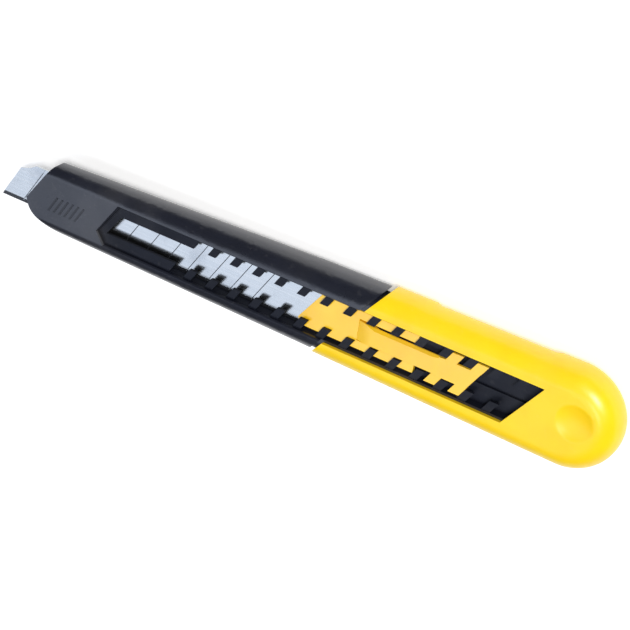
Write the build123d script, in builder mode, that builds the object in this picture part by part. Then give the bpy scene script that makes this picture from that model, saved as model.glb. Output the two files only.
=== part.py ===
import os
from math import radians, tan
from build123d import *

# Slide-lock knife with a 9 mm snap-off blade, lying flat on its back.
# X runs from the nose (-X) to the rounded rear end (+X), Y across the body with the
# blade's spine at +Y and its cutting edge at -Y, Z up out of the windowed face.
# Origin: on the table under the middle of the whole length, blade tip included. Units: mm.
# Body length runs from the nose station, where the blade leaves the body, to the rear end.

# ---------------------------------------------------------------- overall sizes
body_length = 128.8
sleeve_thick = 8.6
face_step = 0.15
nose_thick = 4.7
nose_corner_in = 0.55
flush_back = 8.0
back_stock = 0.05
nose_margin = 2.5
shoulder_margin = 4.3
end_margin = 5.45
sleeve_proud = 0.35

# ---------------------------------------------------------------- blade
blade_width = 9.0
blade_length = 80.0
blade_thick = 0.38
snap_pitch = 5.0
snap_angle = 60.0
snap_lines = 12
score_width = 0.16
score_depth = 0.07
bevel_width = 0.95
blade_out = 7.3
blade_sunk = 2.36
tail_hole_r = 1.5
tail_hole_back = 3.6

# ---------------------------------------------------------------- window and racks
cut_angle = 56.4
window_from_nose = 19.7
window_from_rear = 17.65
window_bevel = 0.25
front_shelf = 1.8
rack_half_gap = 2.3
rack_drop = 0.85
rack_thick = 0.6
rack_tooth = 0.35 * snap_pitch
rack_offset = -0.17 * snap_pitch
rack_from_nose = 41.95
sleeve_window_margin = 0.4

# ---------------------------------------------------------------- channels in the body
channel_clear = 0.05
slot_clear = 0.03
slot_length = 13.4
floor_thick = 1.2
groove_half = 1.0
groove_deep = 0.6
shell_wall = 1.2

# ---------------------------------------------------------------- sleeve joint
joint_from_nose = 74.25
joint_angle = 53.4
joint_gap = 0.9
tenon_from_rear = 11.35
tenon_corner = 2.4
sleeve_roof = 0.8
sleeve_wall = 1.2
fit_clear = 0.05
recess_from_rear = 39.85
recess_to_rear = 14.55
recess_deep = 0.6
recess_side = 0.12
recess_ramp = 1.2

# ---------------------------------------------------------------- slider
slider_inset = 0.6
front_to_peg = 3.45
front_to_hinge = 11.0
rail_length = 12.2
plate_clear = 0.05
blade_clear = 0.04
plate_ramp = 2.6
rail_gap = 0.25
bar_gap = 0.3
bar_ramp = 3.6
bar_slope = 0.4
bar_drop = 0.5
bar_length = 18.0
head_length = 7.2
hinge_gap = 0.06
lock_side_clear = 0.07
lock_thick = 0.5
lock_drop = 0.82
lock_count = 2
peg_clear = 0.05

# ---------------------------------------------------------------- derived stations
overall_length = body_length + blade_out
tip_x = -overall_length / 2
nose_x = tip_x + blade_out
rear_x = overall_length / 2
window_front = nose_x + window_from_nose
window_end = rear_x - window_from_rear
rack_first = nose_x + rack_from_nose
rack_count = int((window_end - rack_first) / snap_pitch) + 2
joint_x = nose_x + joint_from_nose
tenon_end = rear_x - tenon_from_rear
recess_start = rear_x - recess_from_rear
recess_end = rear_x - recess_to_rear
peg_x = tip_x + blade_length - tail_hole_back
slider_front = peg_x - front_to_peg
hinge_x = slider_front + front_to_hinge
rail_end = hinge_x + rail_length
bar_end = hinge_x + bar_length
lock_gap = snap_pitch - rack_tooth + rack_offset
lock_width = lock_gap - 2 * lock_side_clear
lock_pockets_back = round((bar_end - rack_first - rack_tooth) / snap_pitch)
lock_first = rack_first + rack_tooth + lock_pockets_back * snap_pitch + lock_side_clear
slider_rear = lock_first + head_length

# ---------------------------------------------------------------- derived widths
channel_half = blade_width / 2 + channel_clear
window_half = channel_half + 0.05
sleeve_window_half = window_half + sleeve_window_margin
nose_half = channel_half + nose_margin
shoulder_half = channel_half + shoulder_margin
end_radius = channel_half + end_margin
slider_half = channel_half - slider_inset
bar_half = rack_half_gap - bar_gap
bar_top_half = bar_half - bar_slope
end_x = rear_x - end_radius
sleeve_front_x = joint_x - 8.0
shoulder_x = joint_x + 8.0
knee_x = joint_x - flush_back
tenon_start = sleeve_front_x - 1.0

# ---------------------------------------------------------------- derived levels
face_z = sleeve_thick - face_step
rack_z = face_z - rack_drop
rack_under = rack_z - rack_thick
plate_z = rack_under - plate_clear
blade_top = face_z - blade_sunk
blade_low = blade_top - blade_thick
plate_low = blade_top + blade_clear
channel_floor = blade_low - slot_clear
bar_z = face_z - bar_drop
lock_z = face_z - lock_drop
head_low = lock_z - lock_thick
tenon_half = shoulder_half + sleeve_proud - sleeve_wall - fit_clear
tenon_top = sleeve_thick - sleeve_roof - fit_clear
tenon_low = sleeve_wall + recess_deep * 0.5 + fit_clear
snap_run = 1 / tan(radians(snap_angle))
cut_run = 1 / tan(radians(cut_angle))
joint_run = 1 / tan(radians(joint_angle))


def across(x, z):
    return Plane(origin=(x, 0, z), x_dir=(0, 1, 0), z_dir=(1, 0, 0))


def sleeve_half(x):
    start = shoulder_half + sleeve_proud
    grow = (end_radius - start) / (end_x - sleeve_front_x)
    return start + grow * (x - sleeve_front_x)


def body_half(x):
    return nose_half + (shoulder_half - nose_half) * (x - nose_x) / (joint_x - nose_x)


def back_z(x):
    return (face_z - nose_thick) * (knee_x - x) / (knee_x - nose_x)


# ================================================================ front body
with BuildPart() as front_body:
    # Outer shell: its back slopes from the nose to the knee, then runs level to the sleeve.
    for x0, x1 in ((nose_x - 0.5, knee_x), (knee_x, shoulder_x)):
        for x in (x0, x1):
            thick = face_z - max(back_z(x), 0) + back_stock
            with BuildSketch(across(x, face_z - thick / 2)):
                RectangleRounded(2 * body_half(x), thick, 0.47 * thick)
        loft(ruled=True)
    # True flat faces on the back, sloping and level.
    with BuildSketch(Plane.XZ):
        with BuildLine():
            Polyline(
                (nose_x - 1, back_z(nose_x - 1)),
                (knee_x, 0),
                (rear_x, 0),
                (rear_x, -1),
                (nose_x - 1, -1),
                close=True,
            )
        make_face()
    extrude(amount=12, both=True, mode=Mode.SUBTRACT)
    # Slanted shoulder that faces the sleeve.
    with BuildSketch(Plane.XY.offset(-1)):
        with BuildLine():
            Polyline(
                (joint_x - joint_gap + 12 * joint_run, 12),
                (joint_x - joint_gap - 12 * joint_run, -12),
                (joint_x + 40, -12),
                (joint_x + 40, 12),
                close=True,
            )
        make_face()
    extrude(amount=12, mode=Mode.SUBTRACT)
    # Plan shape of the nose: slanted end edge, small upper corner, long lower curve.
    with BuildSketch(Plane.XY.offset(-1)):
        with BuildLine():
            lower_x = nose_x + nose_corner_in
            lower_y = 5.55 - nose_half
            upper_y = nose_half - 0.65
            cut_end = lower_x + (upper_y - lower_y) * cut_run
            a = Line((lower_x, lower_y), (cut_end, upper_y))
            b = Spline(
                a @ 1,
                (cut_end + 0.45, nose_half - 0.1),
                (cut_end + 1.9, nose_half + 0.6),
                tangents=((cut_run, 1), (1, 0.5)),
            )
            c = Line(b @ 1, (nose_x - 12, nose_half + 5))
            d = Line(c @ 1, (nose_x - 12, -nose_half - 5))
            e = Line(d @ 1, (nose_x + 22, -nose_half - 5))
            f = Line(e @ 1, (nose_x + 22, -nose_half - 0.9))
            Spline(
                f @ 1,
                (nose_x + 13.0, -nose_half - 0.45),
                (nose_x + 9.8, 0.05 - nose_half),
                (nose_x + 7.8, 0.5 - nose_half),
                (nose_x + 5.6, 1.15 - nose_half),
                (nose_x + 3.5, 1.95 - nose_half),
                (nose_x + 2.0, 2.9 - nose_half),
                (nose_x + 1.25, 3.85 - nose_half),
                (nose_x + 0.85, 4.85 - nose_half),
                a @ 0,
                tangents=((-1, 0), (-0.5, 1)),
            )
        make_face()
    extrude(amount=12, mode=Mode.SUBTRACT)
    # Tenon that the sleeve is pushed over.
    with BuildSketch(across(tenon_start, (tenon_top + tenon_low) / 2)):
        RectangleRounded(2 * tenon_half, tenon_top - tenon_low, tenon_corner)
    extrude(amount=tenon_end - tenon_start)
    # Window through the face, down to the top of the ledges.
    window_front_low = window_front - 2.2 * cut_run
    with BuildSketch(Plane.XY.offset(rack_z)):
        with BuildLine():
            Polyline(
                (window_front + window_half * cut_run, window_half),
                (window_front_low, -2.2),
                (window_front_low + 1.75, -window_half),
                (tenon_end + 3, -window_half),
                (tenon_end + 3, window_half),
                close=True,
            )
        make_face()
    extrude(amount=4, mode=Mode.SUBTRACT)
    with BuildSketch(Plane.XY.offset(face_z)):
        with BuildLine():
            Polyline(
                (window_front + window_half * cut_run - window_bevel, window_half + window_bevel),
                (window_front_low - window_bevel, -2.2),
                (window_front_low + 1.75 - window_bevel * 0.6, -window_half - window_bevel),
                (tenon_end + 3, -window_half - window_bevel),
                (tenon_end + 3, window_half + window_bevel),
                close=True,
            )
        make_face()
    extrude(amount=-window_bevel, taper=45, mode=Mode.SUBTRACT)
    # Gap between the ledges, over the blade, behind a shelf at the window's front end.
    with BuildSketch(Plane.XY.offset(channel_floor)):
        with BuildLine():
            Polyline(
                (window_front + front_shelf + rack_half_gap * cut_run, rack_half_gap),
                (window_front + front_shelf - rack_half_gap * cut_run, -rack_half_gap),
                (tenon_end + 3, -rack_half_gap),
                (tenon_end + 3, rack_half_gap),
                close=True,
            )
        make_face()
    extrude(amount=rack_z - channel_floor + 0.1, mode=Mode.SUBTRACT)
    # Wide channel below the ledges, for the blade and the slider's plate.
    channel_start = nose_x + slot_length
    channel_run = tenon_end + 3 - channel_start
    with Locations((channel_start, 0, channel_floor)):
        Box(
            channel_run,
            2 * channel_half,
            rack_under - channel_floor,
            align=(Align.MIN, Align.CENTER, Align.MIN),
            mode=Mode.SUBTRACT,
        )
    # Close slot that holds the blade flat at the nose.
    with Locations((nose_x - 5, 0, channel_floor)):
        Box(
            slot_length + 6,
            2 * channel_half,
            blade_thick + 2 * slot_clear,
            align=(Align.MIN, Align.CENTER, Align.MIN),
            mode=Mode.SUBTRACT,
        )
    # Castellated racks: slanted pockets through both ledges, one per snap pitch.
    pocket = snap_pitch - rack_tooth
    with BuildSketch(Plane.XY.offset(rack_under - 0.02)):
        for k in range(rack_count + 1):
            for side, shift in ((1, 0.0), (-1, rack_offset)):
                x = rack_first - pocket + k * snap_pitch + shift
                near = side * (rack_half_gap - 0.05)
                far = side * channel_half
                with BuildLine():
                    Polyline(
                        (x + near * snap_run, near),
                        (x + far * snap_run, far),
                        (x + pocket + far * snap_run, far),
                        (x + pocket + near * snap_run, near),
                        close=True,
                    )
                make_face()
    extrude(amount=rack_thick + 0.04, mode=Mode.SUBTRACT)
    # Groove along the floor under the tongue.
    with Locations((window_front + 8, 0, channel_floor + 0.01)):
        Box(
            tenon_end + 3 - window_front - 8,
            2 * groove_half,
            groove_deep,
            align=(Align.MIN, Align.CENTER, Align.MAX),
            mode=Mode.SUBTRACT,
        )
    # Hollow in the thick rear half of the body, open where the sleeve closes it.
    core_top = channel_floor - floor_thick
    core_start = joint_x - 35
    core_start_thick = core_top - back_z(core_start) - shell_wall
    core_end_low = tenon_low + shell_wall
    with BuildSketch(across(core_start, core_top - core_start_thick / 2)):
        Rectangle(2 * channel_half, core_start_thick)
    with BuildSketch(across(tenon_end + 1, (core_top + core_end_low) / 2)):
        Rectangle(2 * channel_half, core_top - core_end_low)
    loft(ruled=True, mode=Mode.SUBTRACT)
front_body.part.label = "front_body"

# ================================================================ rear sleeve
with BuildPart() as rear_sleeve:
    stations = (
        (sleeve_front_x - 1.0, 0.0),
        (recess_start, 0.0),
        (recess_start + recess_ramp, 1.0),
        (recess_end - recess_ramp, 1.0),
        (recess_end, 0.0),
        (end_x, 0.0),
    )
    # Tapered tube with a shallow finger recess round the back edges.
    for (x0, r0), (x1, r1) in zip(stations[:-1], stations[1:]):
        for x, r in ((x0, r0), (x1, r1)):
            thick = sleeve_thick + back_stock - r * (recess_deep + back_stock)
            half = sleeve_half(x) - r * recess_side
            with BuildSketch(across(x, sleeve_thick - thick / 2)):
                RectangleRounded(2 * half, thick, 0.47 * thick)
        loft(ruled=True)
    # Rounded rear end: half the end section turned about its centre.
    end_thick = sleeve_thick + back_stock
    with BuildSketch(across(end_x, sleeve_thick - end_thick / 2)):
        RectangleRounded(2 * end_radius, end_thick, 0.47 * end_thick)
        with Locations((-end_radius, 0)):
            Rectangle(2 * end_radius, 2 * end_thick, mode=Mode.SUBTRACT)
    revolve(axis=Axis((end_x, 0, 0), (0, 0, -1)), revolution_arc=180)
    # True flat faces on the back, before and behind the recess.
    with Locations((joint_x + 25, 0, 0)):
        Box(120, 30, 2, align=(Align.CENTER, Align.CENTER, Align.MAX), mode=Mode.SUBTRACT)
    # Slanted front edge.
    with BuildSketch(Plane.XY.offset(-1)):
        with BuildLine():
            Polyline(
                (joint_x + 12 * joint_run, 12),
                (joint_x - 12 * joint_run, -12),
                (joint_x - 40, -12),
                (joint_x - 40, 12),
                close=True,
            )
        make_face()
    extrude(amount=12, mode=Mode.SUBTRACT)
    # Socket for the tenon.
    socket_low = tenon_low - fit_clear
    socket_top = tenon_top + fit_clear
    socket_half = tenon_half + fit_clear
    with BuildSketch(across(tenon_start - 0.1, (socket_low + socket_top) / 2)):
        RectangleRounded(2 * socket_half, socket_top - socket_low, tenon_corner + fit_clear)
    extrude(amount=tenon_end + 0.4 - tenon_start, mode=Mode.SUBTRACT)
    # Window in the roof, open towards the nose.
    with BuildSketch(Plane.XY.offset(socket_top - 0.5)):
        with BuildLine():
            Polyline(
                (joint_x - 30, sleeve_window_half),
                (window_end + sleeve_window_half * cut_run, sleeve_window_half),
                (window_end - sleeve_window_half * cut_run, -sleeve_window_half),
                (joint_x - 30, -sleeve_window_half),
                close=True,
            )
        make_face()
    extrude(amount=3, mode=Mode.SUBTRACT)
    # Shallow round dimple in the rear end of the face.
    dimple_r = 3.9
    dimple_deep = 0.7
    ball_r = (dimple_r**2 + dimple_deep**2) / (2 * dimple_deep)
    with Locations((end_x + 2.2, 0.8, sleeve_thick - dimple_deep + ball_r)):
        Sphere(ball_r, mode=Mode.SUBTRACT)
rear_sleeve.part.label = "rear_sleeve"

# ================================================================ blade
edge_y = -blade_width / 2
spine_y = blade_width / 2
mid_z = (blade_top + blade_low) / 2
with BuildPart() as blade:
    with BuildSketch(across(tip_x - 1, mid_z)):
        with BuildLine():
            Polyline(
                (spine_y, blade_thick / 2),
                (spine_y, -blade_thick / 2),
                (edge_y + bevel_width, -blade_thick / 2),
                (edge_y, 0),
                (edge_y + bevel_width, blade_thick / 2),
                close=True,
            )
        make_face()
    extrude(amount=blade_length + 12)
    # Plan outline: front and tail cut on the snap angle, clipped front spine corner.
    run = blade_width * snap_run
    with BuildSketch(Plane.XY.offset(blade_low - 1)):
        with BuildLine():
            Polyline(
                (tip_x, edge_y),
                (tip_x + 7.4 * snap_run, edge_y + 7.4),
                (tip_x + 6.5, spine_y - 0.95),
                (tip_x + 8.0, spine_y),
                (tip_x + blade_length + run * 0.4, spine_y),
                (tip_x + blade_length + run * 0.4 - 4.0 * snap_run, spine_y - 4.0),
                (tip_x + blade_length - run * 0.4, edge_y),
                close=True,
            )
        make_face()
        with Locations((tip_x + blade_length - tail_hole_back, 0)):
            Circle(tail_hole_r, mode=Mode.SUBTRACT)
    extrude(amount=2, mode=Mode.INTERSECT)
    # Score lines across the upper face, one per snap pitch.
    with BuildSketch(Plane.XY.offset(blade_top + 0.01)):
        for k in range(1, snap_lines + 1):
            x = tip_x + k * snap_pitch
            with BuildLine():
                Polyline(
                    (x, edge_y),
                    (x + run, spine_y),
                    (x + run + score_width, spine_y),
                    (x + score_width, edge_y),
                    close=True,
                )
            make_face()
    extrude(amount=-score_depth - 0.01, mode=Mode.SUBTRACT)
blade.part.label = "blade"

# ================================================================ slider carrier
with BuildPart() as slider_carrier:
    # Plate under the racks with two side rails beside the tongue.
    with BuildSketch(Plane.XY.offset(plate_low)):
        with BuildLine():
            Polyline(
                (slider_front + slider_half * cut_run, slider_half),
                (slider_front - 2.9 * cut_run, -2.9),
                (slider_front - 2.9 * cut_run + 0.9, -slider_half),
                (rail_end, -slider_half),
                (rail_end, -bar_half - rail_gap),
                (hinge_x, -bar_half - rail_gap),
                (hinge_x, bar_half + rail_gap),
                (rail_end, bar_half + rail_gap),
                (rail_end, slider_half),
                close=True,
            )
        make_face()
    extrude(amount=plate_z - plate_low)
    # Ramp down to the plate's front edge.
    with BuildSketch(Plane(origin=(slider_front, 0, 0), x_dir=(1, -cut_run, 0), z_dir=(-cut_run, -1, 0))):
        with BuildLine():
            Polyline(
                (-6, plate_low + 0.3),
                (0, plate_low + 0.3),
                (plate_ramp, plate_z + 0.01),
                (-6, plate_z + 0.01),
                close=True,
            )
        make_face()
    extrude(amount=8, both=True, mode=Mode.SUBTRACT)
    # Peg that drops into the blade's tail hole.
    with Locations((peg_x, 0, plate_low + 0.01)):
        Cylinder(
            tail_hole_r - peg_clear,
            plate_low - blade_low - 0.04,
            align=(Align.CENTER, Align.CENTER, Align.MAX),
        )
slider_carrier.part.label = "slider_carrier"

# ================================================================ lock tongue
with BuildPart() as lock_tongue:
    # Side profile of the thumb bar, from the bending line to the rear head.
    with BuildSketch(Plane.XZ.offset(-bar_half)):
        with BuildLine():
            Polyline(
                (hinge_x + hinge_gap, plate_low),
                (hinge_x + hinge_gap, plate_z),
                (hinge_x + bar_ramp, bar_z),
                (bar_end - 2.5, bar_z),
                (bar_end, lock_z),
                (lock_first + 3.0, lock_z),
                (lock_first + 3.0, head_low),
                (hinge_x + 4.5, head_low),
                (hinge_x + 2.0, plate_low),
                close=True,
            )
        make_face()
    extrude(amount=2 * bar_half)
    # Sloped long edges of the bar.
    for side in (1, -1):
        with BuildSketch(across(hinge_x - 1, 0)):
            with BuildLine():
                Polyline(
                    (side * bar_half, face_z - 1.1),
                    (side * bar_top_half, bar_z + 0.01),
                    (side * (bar_half + 0.5), bar_z + 0.01),
                    (side * (bar_half + 0.5), face_z - 1.1),
                    close=True,
                )
            make_face()
        extrude(amount=bar_end - hinge_x, mode=Mode.SUBTRACT)
    # Rear head between the racks.
    with BuildSketch(Plane.XY.offset(head_low)):
        with BuildLine():
            Polyline(
                (lock_first + bar_half * snap_run, bar_half),
                (lock_first - bar_half * snap_run, -bar_half),
                (slider_rear - bar_half * snap_run, -bar_half),
                (slider_rear + bar_half * snap_run, bar_half),
                close=True,
            )
        make_face()
    extrude(amount=lock_thick)
    # Lock teeth that stand in the rack pockets, two on each side.
    with BuildSketch(Plane.XY.offset(head_low)):
        for k in range(lock_count):
            for side in (1, -1):
                x = lock_first + k * snap_pitch
                near = side * (bar_half - 0.1)
                far = side * slider_half
                with BuildLine():
                    Polyline(
                        (x + near * snap_run, near),
                        (x + far * snap_run, far),
                        (x + lock_width + far * snap_run, far),
                        (x + lock_width + near * snap_run, near),
                        close=True,
                    )
                make_face()
    extrude(amount=lock_thick)
lock_tongue.part.label = "lock_tongue"

os.makedirs("parts", exist_ok=True)
export_step(front_body.part, "parts/front_body.step")
export_step(rear_sleeve.part, "parts/rear_sleeve.step")
export_step(blade.part, "parts/blade.step")
export_step(slider_carrier.part, "parts/slider_carrier.step")
export_step(lock_tongue.part, "parts/lock_tongue.step")
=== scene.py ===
import math

import bmesh
import bpy
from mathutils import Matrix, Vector


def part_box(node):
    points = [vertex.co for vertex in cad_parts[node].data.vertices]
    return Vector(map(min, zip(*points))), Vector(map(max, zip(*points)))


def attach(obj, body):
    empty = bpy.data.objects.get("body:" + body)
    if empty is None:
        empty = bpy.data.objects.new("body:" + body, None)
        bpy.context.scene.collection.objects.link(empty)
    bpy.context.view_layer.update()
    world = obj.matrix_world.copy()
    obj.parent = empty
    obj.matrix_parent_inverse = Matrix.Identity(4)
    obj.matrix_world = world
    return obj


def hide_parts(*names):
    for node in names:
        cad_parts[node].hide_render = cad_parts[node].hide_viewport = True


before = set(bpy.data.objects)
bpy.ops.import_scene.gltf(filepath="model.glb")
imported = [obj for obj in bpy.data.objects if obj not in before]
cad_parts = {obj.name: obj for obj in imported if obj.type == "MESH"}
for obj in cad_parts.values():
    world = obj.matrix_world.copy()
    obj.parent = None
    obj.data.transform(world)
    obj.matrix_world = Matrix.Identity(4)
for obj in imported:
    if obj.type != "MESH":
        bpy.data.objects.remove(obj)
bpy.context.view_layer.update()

MM = 0.001


# ------------------------------------------------------------------ node helpers
def group(name, ins, outs):
    """An empty shader node group with named sockets; returns the tree, its input and its output node."""
    tree = bpy.data.node_groups.new(name, "ShaderNodeTree")
    for label, kind, value in ins:
        sock = tree.interface.new_socket(label, in_out="INPUT", socket_type=kind)
        sock.default_value = value
    for label, kind in outs:
        tree.interface.new_socket(label, in_out="OUTPUT", socket_type=kind)
    return tree, tree.nodes.new("NodeGroupInput"), tree.nodes.new("NodeGroupOutput")


def node(tree, kind, **settings):
    made = tree.nodes.new(kind)
    for key, value in settings.items():
        setattr(made, key, value)
    return made


def maths(tree, operation, a, b=None):
    made = node(tree, "ShaderNodeMath", operation=operation)
    for i, value in enumerate((a, b)):
        if value is None:
            continue
        if isinstance(value, (int, float)):
            made.inputs[i].default_value = value
        else:
            tree.links.new(value, made.inputs[i])
    return made.outputs[0]


def ramp(tree, source, low, high, to_low=0.0, to_high=1.0):
    made = node(tree, "ShaderNodeMapRange", interpolation_type="SMOOTHSTEP")
    tree.links.new(source, made.inputs["Value"])
    made.inputs["From Min"].default_value = low
    made.inputs["From Max"].default_value = high
    made.inputs["To Min"].default_value = to_low
    made.inputs["To Max"].default_value = to_high
    return made.outputs["Result"]


def mix_colour(tree, factor, a, b):
    made = node(tree, "ShaderNodeMix", data_type="RGBA")
    for value, sock in ((factor, made.inputs["Factor"]), (a, made.inputs["A"]), (b, made.inputs["B"])):
        if isinstance(value, (int, float, tuple)):
            sock.default_value = value
        else:
            tree.links.new(value, sock)
    return made.outputs["Result"]


def noise(tree, vector, scale, detail=4.0, rough=0.55):
    made = node(tree, "ShaderNodeTexNoise")
    tree.links.new(vector, made.inputs["Vector"])
    if isinstance(scale, (int, float)):
        made.inputs["Scale"].default_value = scale
    else:
        tree.links.new(scale, made.inputs["Scale"])
    made.inputs["Detail"].default_value = detail
    made.inputs["Roughness"].default_value = rough
    return made.outputs["Fac"]


# ------------------------------------------------------------------ shared effects
def moulded_grain():
    """Fine moulded texture: roughness variation and a bump height."""
    tree, gin, out = group(
        "moulded_grain",
        [
            ("Grain Scale", "NodeSocketFloat", 2600.0),
            ("Base Roughness", "NodeSocketFloat", 0.4),
            ("Roughness Spread", "NodeSocketFloat", 0.1),
        ],
        [("Roughness", "NodeSocketFloat"), ("Height", "NodeSocketFloat")],
    )
    where = node(tree, "ShaderNodeTexCoord").outputs["Object"]
    fine = noise(tree, where, gin.outputs["Grain Scale"], 3.0)
    broad = noise(tree, where, 90.0, 4.0)
    spread = maths(tree, "MULTIPLY", maths(tree, "SUBTRACT", broad, 0.5), gin.outputs["Roughness Spread"])
    small = maths(tree, "MULTIPLY", maths(tree, "SUBTRACT", fine, 0.5), 0.08)
    rough = maths(tree, "ADD", maths(tree, "ADD", spread, small), gin.outputs["Base Roughness"])
    tree.links.new(rough, out.inputs["Roughness"])
    tree.links.new(maths(tree, "ADD", fine, maths(tree, "MULTIPLY", broad, 0.6)), out.inputs["Height"])
    return tree


def handling_scuffs():
    """Faint long scratches and rubbed patches from use: a mask."""
    tree, gin, out = group(
        "handling_scuffs",
        [("Amount", "NodeSocketFloat", 0.5), ("Scratch Scale", "NodeSocketFloat", 220.0)],
        [("Mask", "NodeSocketFloat")],
    )
    where = node(tree, "ShaderNodeTexCoord").outputs["Object"]
    stretch = node(tree, "ShaderNodeMapping")
    stretch.inputs["Rotation"].default_value = (0.0, 0.0, 0.5)
    stretch.inputs["Scale"].default_value = (0.06, 1.0, 1.0)
    tree.links.new(where, stretch.inputs["Vector"])
    lines = noise(tree, stretch.outputs["Vector"], gin.outputs["Scratch Scale"], 6.0, 0.7)
    patches = noise(tree, where, 70.0, 3.0)
    scratch = ramp(tree, lines, 0.66, 0.74)
    mask = maths(tree, "MULTIPLY", scratch, ramp(tree, patches, 0.42, 0.62))
    tree.links.new(maths(tree, "MULTIPLY", mask, gin.outputs["Amount"]), out.inputs["Mask"])
    return tree


def settled_dust():
    """Pale dust in patches: a mask."""
    tree, gin, out = group(
        "settled_dust",
        [("Amount", "NodeSocketFloat", 0.2)],
        [("Mask", "NodeSocketFloat")],
    )
    where = node(tree, "ShaderNodeTexCoord").outputs["Object"]
    specks = ramp(tree, noise(tree, where, 900.0, 2.0), 0.62, 0.72)
    cloud = ramp(tree, noise(tree, where, 60.0, 5.0), 0.45, 0.75)
    both = maths(tree, "ADD", maths(tree, "MULTIPLY", specks, 0.6), cloud)
    mask = maths(tree, "MULTIPLY", both, gin.outputs["Amount"])
    tree.links.new(mask, out.inputs["Mask"])
    return tree


def ground_steel():
    """Grinding marks across the blade: streaks, stains and a bump height."""
    tree, gin, out = group(
        "ground_steel",
        [("Streak Scale", "NodeSocketFloat", 1500.0), ("Stain", "NodeSocketFloat", 0.3)],
        [("Streaks", "NodeSocketFloat"), ("Stains", "NodeSocketFloat")],
    )
    where = node(tree, "ShaderNodeTexCoord").outputs["Object"]
    stretch = node(tree, "ShaderNodeMapping")
    stretch.inputs["Scale"].default_value = (0.02, 1.0, 1.0)
    tree.links.new(where, stretch.inputs["Vector"])
    streaks = noise(tree, stretch.outputs["Vector"], gin.outputs["Streak Scale"], 5.0, 0.65)
    stains = ramp(tree, noise(tree, where, 130.0, 5.0), 0.5, 0.8)
    tree.links.new(streaks, out.inputs["Streaks"])
    tree.links.new(maths(tree, "MULTIPLY", stains, gin.outputs["Stain"]), out.inputs["Stains"])
    return tree


GRAIN = moulded_grain()
SCUFFS = handling_scuffs()
DUST = settled_dust()
STEEL = ground_steel()


# ------------------------------------------------------------------ materials
def new_material(name):
    mat = bpy.data.materials.new(name)
    mat.use_nodes = True
    tree = mat.node_tree
    tree.nodes.clear()
    out = tree.nodes.new("ShaderNodeOutputMaterial")
    shader = tree.nodes.new("ShaderNodeBsdfPrincipled")
    tree.links.new(shader.outputs["BSDF"], out.inputs["Surface"])
    return mat, tree, shader


def use(tree, which, **values):
    made = tree.nodes.new("ShaderNodeGroup")
    made.node_tree = which
    for key, value in values.items():
        made.inputs[key.replace("_", " ")].default_value = value
    return made


def moulded_plastic(name, colour, deep, worn, rough, spread, bump, scuff, dust, coat, specular):
    """Injection-moulded plastic: slightly uneven colour, fine grain, rubbed marks and a little dust."""
    mat, tree, shader = new_material(name)
    where = node(tree, "ShaderNodeTexCoord").outputs["Object"]
    grain = use(tree, GRAIN, Base_Roughness=rough, Roughness_Spread=spread)
    marks = use(tree, SCUFFS, Amount=scuff)
    dusty = use(tree, DUST, Amount=dust)
    mottle = ramp(tree, noise(tree, where, 140.0, 4.0), 0.3, 0.75)
    base = mix_colour(tree, mottle, colour, deep)
    rubbed = mix_colour(tree, marks.outputs["Mask"], base, worn)
    final = mix_colour(tree, dusty.outputs["Mask"], rubbed, (0.62, 0.6, 0.58, 1.0))
    tree.links.new(final, shader.inputs["Base Color"])
    lift = maths(tree, "MULTIPLY", marks.outputs["Mask"], 0.25)
    rough_out = maths(tree, "ADD", grain.outputs["Roughness"], lift)
    tree.links.new(maths(tree, "ADD", rough_out, maths(tree, "MULTIPLY", dusty.outputs["Mask"], 0.4)),
                   shader.inputs["Roughness"])
    height = tree.nodes.new("ShaderNodeBump")
    height.inputs["Strength"].default_value = bump
    height.inputs["Distance"].default_value = 0.00006
    tree.links.new(grain.outputs["Height"], height.inputs["Height"])
    tree.links.new(height.outputs["Normal"], shader.inputs["Normal"])
    shader.inputs["Coat Weight"].default_value = coat
    shader.inputs["Coat Roughness"].default_value = 0.18
    shader.inputs["Specular IOR Level"].default_value = specular
    return mat


def blade_steel(name, colour, bright, rough, metallic):
    """Ground steel strip with fine lengthwise streaks, faint stains and small scratches."""
    mat, tree, shader = new_material(name)
    steel = use(tree, STEEL)
    marks = use(tree, SCUFFS, Amount=0.35, Scratch_Scale=420.0)
    base = mix_colour(tree, ramp(tree, steel.outputs["Streaks"], 0.35, 0.7), colour, bright)
    stained = mix_colour(tree, steel.outputs["Stains"], base, (0.34, 0.37, 0.42, 1.0))
    tree.links.new(stained, shader.inputs["Base Color"])
    shader.inputs["Metallic"].default_value = metallic
    uneven = maths(tree, "MULTIPLY", maths(tree, "SUBTRACT", steel.outputs["Streaks"], 0.5), 0.16)
    scratched = maths(tree, "MULTIPLY", marks.outputs["Mask"], 0.3)
    stain_rough = maths(tree, "MULTIPLY", steel.outputs["Stains"], 0.25)
    total = maths(tree, "ADD", maths(tree, "ADD", uneven, rough), maths(tree, "ADD", scratched, stain_rough))
    tree.links.new(total, shader.inputs["Roughness"])
    height = tree.nodes.new("ShaderNodeBump")
    height.inputs["Strength"].default_value = 0.12
    height.inputs["Distance"].default_value = 0.00003
    tree.links.new(steel.outputs["Streaks"], height.inputs["Height"])
    tree.links.new(height.outputs["Normal"], shader.inputs["Normal"])
    return mat


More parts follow.
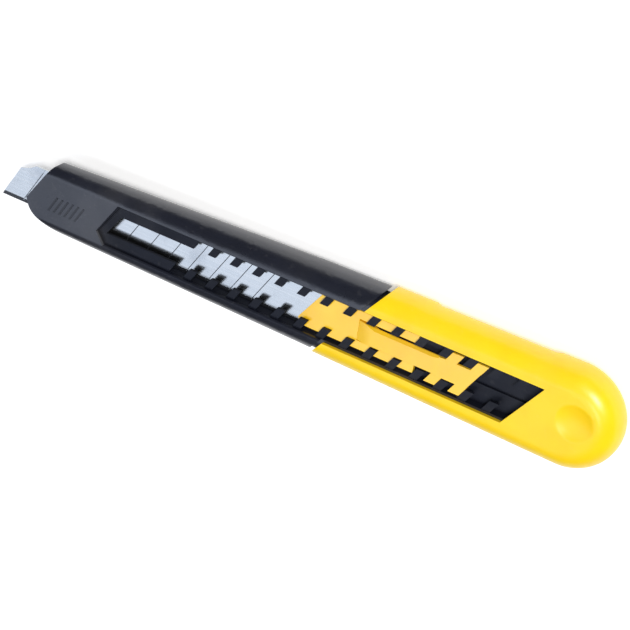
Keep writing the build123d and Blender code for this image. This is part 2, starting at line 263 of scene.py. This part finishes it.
BLACK = moulded_plastic(
    "black_moulding",
    colour=(0.006, 0.0075, 0.016, 1), deep=(0.004, 0.005, 0.011, 1),
    worn=(0.03, 0.03, 0.042, 1),
    rough=0.3, spread=0.1, bump=0.2, scuff=0.45, dust=0.03, coat=0.0, specular=0.9,
)
YELLOW = moulded_plastic(
    "yellow_moulding",
    colour=(0.96, 0.66, 0.004, 1), deep=(0.93, 0.61, 0.003, 1),
    worn=(0.97, 0.78, 0.12, 1),
    rough=0.36, spread=0.08, bump=0.1, scuff=0.3, dust=0.02, coat=0.1, specular=0.5,
)
SLIDER = moulded_plastic(
    "slider_moulding",
    colour=(0.96, 0.6, 0.012, 1), deep=(0.93, 0.53, 0.008, 1),
    worn=(0.97, 0.74, 0.16, 1),
    rough=0.34, spread=0.1, bump=0.1, scuff=0.4, dust=0.03, coat=0.35, specular=1.0,
)
# Lighter black for the softened edges of the black body: partly real edge wear, partly a painted highlight
# along the edges.
RUBBED_AND_HIGHLIT = moulded_plastic(
    "black_rubbed_edge",
    colour=(0.03, 0.033, 0.05, 1), deep=(0.02, 0.022, 0.035, 1),
    worn=(0.09, 0.09, 0.11, 1),
    rough=0.3, spread=0.1, bump=0.15, scuff=0.6, dust=0.02, coat=0.0, specular=1.0,
)
# Darker, duller black for faces deep in the window: painted shade in the recess.
SHADED_INSIDE = moulded_plastic(
    "black_inside",
    colour=(0.004, 0.006, 0.014, 1), deep=(0.0025, 0.004, 0.01, 1),
    worn=(0.012, 0.014, 0.024, 1),
    rough=0.55, spread=0.1, bump=0.3, scuff=0.2, dust=0.02, coat=0.0, specular=0.32,
)
BLADE = blade_steel("ground_blade", (0.58, 0.6, 0.59, 1), (0.68, 0.69, 0.665, 1), 0.24, 1.0)
EDGE = blade_steel("honed_edge", (0.34, 0.35, 0.38, 1), (0.46, 0.48, 0.5, 1), 0.26, 1.0)


# ------------------------------------------------------------------ pieces copied from the frame
def bake(obj):
    """Turns the object's modifiers into plain mesh."""
    bpy.context.view_layer.update()
    seen = obj.evaluated_get(bpy.context.evaluated_depsgraph_get())
    mesh = bpy.data.meshes.new_from_object(seen)
    obj.modifiers.clear()
    obj.data = mesh


def link(name, mesh):
    obj = bpy.data.objects.new(name, mesh)
    bpy.context.scene.collection.objects.link(obj)
    return obj


def mark_sharp(mesh, degrees):
    """Smooth faces, with every edge over the given angle kept sharp."""
    mesh.shade_smooth()
    bm = bmesh.new()
    bm.from_mesh(mesh)
    limit = math.radians(degrees)
    for edge in bm.edges:
        edge.smooth = len(edge.link_faces) == 2 and edge.calc_face_angle(0.0) < limit
    bm.to_mesh(mesh)
    bm.free()


def clean_copy(source, name, mats, width, keep_sharp=40.0):
    """A merged copy of a CAD node with softened moulded edges.

    The bevels take the second material where there is one.
    """
    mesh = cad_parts[source].data.copy()
    mesh.name = name
    bm = bmesh.new()
    bm.from_mesh(mesh)
    bmesh.ops.remove_doubles(bm, verts=bm.verts, dist=0.5e-6)
    bmesh.ops.dissolve_limit(bm, angle_limit=math.radians(0.6), verts=bm.verts, edges=bm.edges)
    bm.to_mesh(mesh)
    bm.free()
    mesh.materials.clear()
    for mat in mats:
        mesh.materials.append(mat)
    for face in mesh.polygons:
        face.material_index = 0
    obj = link(name, mesh)
    soften = obj.modifiers.new("soften", "BEVEL")
    soften.width = width
    soften.segments = 2
    soften.limit_method = "ANGLE"
    soften.angle_limit = math.radians(28.0)
    soften.use_clamp_overlap = True
    soften.material = min(1, len(mats) - 1)
    bake(obj)
    mark_sharp(obj.data, keep_sharp)
    even = obj.modifiers.new("even_faces", "WEIGHTED_NORMAL")
    even.keep_sharp = True
    even.weight = 90
    bake(obj)
    return obj


def paint(obj, index, wanted):
    """Gives the material of the given index to every face that the test picks."""
    for face in obj.data.polygons:
        if wanted(face.center, face.normal):
            face.material_index = index


def finish_piece(obj, source, body):
    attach(obj, body)
    if source:
        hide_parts(source)


NOSE, BODY_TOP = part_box("front_body")
FACE_Z = BODY_TOP.z
BLADE_LOW, BLADE_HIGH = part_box("blade")
RACK_Z = FACE_Z - 0.85 * MM
WINDOW_HALF = 4.6 * MM
CHANNEL_START = BLADE_LOW.x + 20 * MM
HONED_WIDE = 0.95 * MM
BLACK_SOFT, YELLOW_SOFT, CARRIER_SOFT, BLADE_SOFT = 0.12 * MM, 0.14 * MM, 0.06 * MM, 0.01 * MM
SECOND, THIRD = 1, 2


def window_front_slope(c, n):
    return c.z > RACK_Z and n.x > 0.3 and 0.1 < n.z < 0.95 and abs(c.y) < WINDOW_HALF + 0.6 * MM


def inside_window(c, n):
    low_enough = c.z < RACK_Z + 0.05 * MM
    return low_enough and abs(c.y) < WINDOW_HALF and n.z > -0.2 and c.x > CHANNEL_START


def honed_face(c, n):
    return c.y < BLADE_LOW.y + HONED_WIDE and abs(n.z) > 0.5


# The black body's bevels take the lighter edge black: real wear plus a painted highlight.
black_body = clean_copy("front_body", "black_body", (BLACK, RUBBED_AND_HIGHLIT, SHADED_INSIDE), BLACK_SOFT)
# Painted shade: the window's front chamfer and the faces deep in the window take the darker inside black.
paint(black_body, THIRD, window_front_slope)
paint(black_body, THIRD, inside_window)
finish_piece(black_body, "front_body", "body")

yellow_sleeve = clean_copy("rear_sleeve", "yellow_sleeve", (YELLOW,), YELLOW_SOFT)
finish_piece(yellow_sleeve, "rear_sleeve", "sleeve")

slider_frame = clean_copy("slider_carrier", "slider_frame", (SLIDER,), CARRIER_SOFT)
finish_piece(slider_frame, "slider_carrier", "slider")

slider_tongue = clean_copy("lock_tongue", "slider_tongue", (SLIDER,), YELLOW_SOFT)
finish_piece(slider_tongue, "lock_tongue", "tongue")

snap_blade = clean_copy("blade", "snap_blade", (BLADE, EDGE), BLADE_SOFT, 6.0)
paint(snap_blade, SECOND, honed_face)
finish_piece(snap_blade, "blade", "slider")


# ------------------------------------------------------------------ pieces that repeat
def repeater(name, count, step, size, slant, mat):
    """A row of slanted bars as a node tree: named inputs for count, step, size and slant."""
    tree = bpy.data.node_groups.new(name, "GeometryNodeTree")
    face = tree.interface
    face.new_socket("Geometry", in_out="OUTPUT", socket_type="NodeSocketGeometry")
    wanted = (
        ("Count", "NodeSocketInt", count),
        ("Step", "NodeSocketVector", step),
        ("Bar Size", "NodeSocketVector", size),
        ("Slant", "NodeSocketFloat", slant),
        ("Start", "NodeSocketVector", (0.0, 0.0, 0.0)),
    )
    for label, kind, value in wanted:
        face.new_socket(label, in_out="INPUT", socket_type=kind).default_value = value
    gin = tree.nodes.new("NodeGroupInput")
    out = tree.nodes.new("NodeGroupOutput")
    row = node(tree, "GeometryNodeMeshLine", mode="OFFSET")
    tree.links.new(gin.outputs["Count"], row.inputs["Count"])
    tree.links.new(gin.outputs["Step"], row.inputs["Offset"])
    tree.links.new(gin.outputs["Start"], row.inputs["Start Location"])
    bar = node(tree, "GeometryNodeMeshCube")
    tree.links.new(gin.outputs["Bar Size"], bar.inputs["Size"])
    place = node(tree, "GeometryNodeInputPosition")
    split = node(tree, "ShaderNodeSeparateXYZ")
    tree.links.new(place.outputs["Position"], split.inputs["Vector"])
    lean = maths(tree, "MULTIPLY", split.outputs["Y"], gin.outputs["Slant"])
    shift = node(tree, "ShaderNodeCombineXYZ")
    tree.links.new(lean, shift.inputs["X"])
    shear = node(tree, "GeometryNodeSetPosition")
    tree.links.new(bar.outputs["Mesh"], shear.inputs["Geometry"])
    tree.links.new(shift.outputs["Vector"], shear.inputs["Offset"])
    copies = node(tree, "GeometryNodeInstanceOnPoints")
    tree.links.new(row.outputs["Mesh"], copies.inputs["Points"])
    tree.links.new(shear.outputs["Geometry"], copies.inputs["Instance"])
    real = node(tree, "GeometryNodeRealizeInstances")
    tree.links.new(copies.outputs["Instances"], real.inputs["Geometry"])
    coat = node(tree, "GeometryNodeSetMaterial")
    coat.inputs["Material"].default_value = mat
    tree.links.new(real.outputs["Geometry"], coat.inputs["Geometry"])
    tree.links.new(coat.outputs["Geometry"], out.inputs["Geometry"])
    return tree


def repeated(name, tree, mat, **values):
    """An object made by a repeater tree, turned into plain mesh."""
    obj = link(name, bpy.data.meshes.new(name))
    maker = obj.modifiers.new("row", "NODES")
    maker.node_group = tree
    for item in tree.interface.items_tree:
        if item.in_out == "INPUT" and item.name.replace(" ", "_") in values:
            maker[item.identifier] = values[item.name.replace(" ", "_")]
    bake(obj)
    if not obj.data.materials:
        obj.data.materials.append(mat)
    return obj


SNAP_SLOPE = 1 / math.tan(math.radians(60.0))
# Dark strips set into the blade's score grooves: painted shade in the grooves.
GROOVE_SHADE = blade_steel("score_line", (0.05, 0.055, 0.065, 1), (0.08, 0.085, 0.1, 1), 0.5, 0.6)
SNAP_PITCH = 5.0 * MM
SCORE_LINES = 12
BLADE_WIDE = BLADE_HIGH.y - BLADE_LOW.y
SMALL_BAR = (0.1 * MM, 1 * MM, 0.1 * MM)
BAR_ROW = repeater("slanted_bars", 1, (SNAP_PITCH, 0.0, 0.0), SMALL_BAR, SNAP_SLOPE, GROOVE_SHADE)
FIRST_SCORE = BLADE_LOW.x + SNAP_PITCH + 0.08 * MM + BLADE_WIDE / 2 * SNAP_SLOPE
score_lines = repeated(
    "score_lines", BAR_ROW, GROOVE_SHADE, Count=SCORE_LINES,
    Start=(FIRST_SCORE, 0.0, BLADE_HIGH.z - 0.05 * MM),
    Bar_Size=(0.13 * MM, BLADE_WIDE - 1.9 * MM, 0.05 * MM),
)
finish_piece(score_lines, None, "slider")

MARK = moulded_plastic(
    "raised_mark",
    colour=(0.004, 0.005, 0.01, 1), deep=(0.003, 0.004, 0.008, 1),
    worn=(0.03, 0.03, 0.04, 1),
    rough=0.4, spread=0.1, bump=0.2, scuff=0.4, dust=0.02, coat=0.0, specular=0.75,
)
MARK_STEP = (1.3 * MM, 0.0, 0.0)
MARK_ROW = repeater("mark_bars", 1, MARK_STEP, SMALL_BAR, SNAP_SLOPE, MARK)
nose_mark = repeated(
    "nose_grip_bars", MARK_ROW, MARK, Count=6,
    Start=(NOSE.x + 6.6 * MM, -0.6 * MM, FACE_Z + 0.01 * MM),
    Step=MARK_STEP,
    Bar_Size=(0.45 * MM, 3.4 * MM, 0.14 * MM),
)
finish_piece(nose_mark, None, "body")


# ------------------------------------------------------------------ floor, light and camera
def studio_floor():
    mesh = bpy.data.meshes.new("table_top")
    half = 1.6
    corners = [(-half, -half, 0), (half, -half, 0), (half, half, 0), (-half, half, 0)]
    mesh.from_pydata(corners, [], [(0, 1, 2, 3)])
    mat, tree, shader = new_material("pale_table")
    where = node(tree, "ShaderNodeTexCoord").outputs["Object"]
    tone = mix_colour(tree, noise(tree, where, 18.0, 3.0), (0.9, 0.9, 0.9, 1), (0.86, 0.86, 0.865, 1))
    tree.links.new(tone, shader.inputs["Base Color"])
    dull = ramp(tree, noise(tree, where, 160.0, 4.0), 0.0, 1.0, 0.5, 0.62)
    tree.links.new(dull, shader.inputs["Roughness"])
    tree.links.new(tone, shader.inputs["Emission Color"])
    shader.inputs["Emission Strength"].default_value = 0.34
    mesh.materials.append(mat)
    floor = bpy.data.objects.new("table_top", mesh)
    bpy.context.scene.collection.objects.link(floor)
    return floor


def soft_light(name, place, target, size, size_y, watts, colour):
    data = bpy.data.lights.new(name, "AREA")
    data.shape = "RECTANGLE"
    data.size = size
    data.size_y = size_y
    data.energy = watts
    data.color = colour
    lamp = bpy.data.objects.new(name, data)
    lamp.location = place
    lamp.rotation_euler = (Vector(target) - Vector(place)).to_track_quat("-Z", "Y").to_euler()
    bpy.context.scene.collection.objects.link(lamp)
    return lamp


def studio():
    studio_floor()
    soft_light("key_softbox", (0.52, 0.46, 0.92), (0, 0, 0), 0.3, 0.34, 11.6, (1.0, 0.985, 0.96))
    soft_light("top_softbox", (0.22, -0.16, 1.0), (0, 0, 0), 0.3, 0.3, 2.4, (1.0, 0.99, 0.97))
    soft_light("hanging_sheet", (-0.40, -0.31, 0.72), (-0.40, -0.31, 0), 0.86, 0.5, 1.95, (0.74, 0.82, 1.0))
    world = bpy.data.worlds.new("studio_air")
    world.use_nodes = True
    back = world.node_tree.nodes["Background"]
    back.inputs["Color"].default_value = (0.85, 0.9, 1.0, 1.0)
    back.inputs["Strength"].default_value = 0.12
    bpy.context.scene.world = world
    bpy.context.scene.view_settings.view_transform = "Standard"


def camera():
    data = bpy.data.cameras.new("main_camera")
    data.sensor_width = 36.0
    data.lens = CAM_LENS
    data.clip_start = 0.01
    cam = bpy.data.objects.new("main_camera", data)
    cam.location = CAM_PLACE
    cam.rotation_euler = CAM_TURN
    bpy.context.scene.collection.objects.link(cam)
    bpy.context.scene.camera = cam


CAM_LENS = 104.57
CAM_PLACE = (0.1388, 0.16595, 0.26991)
CAM_TURN = (-0.43268, 0.54258, 0.17123)
studio()
camera()
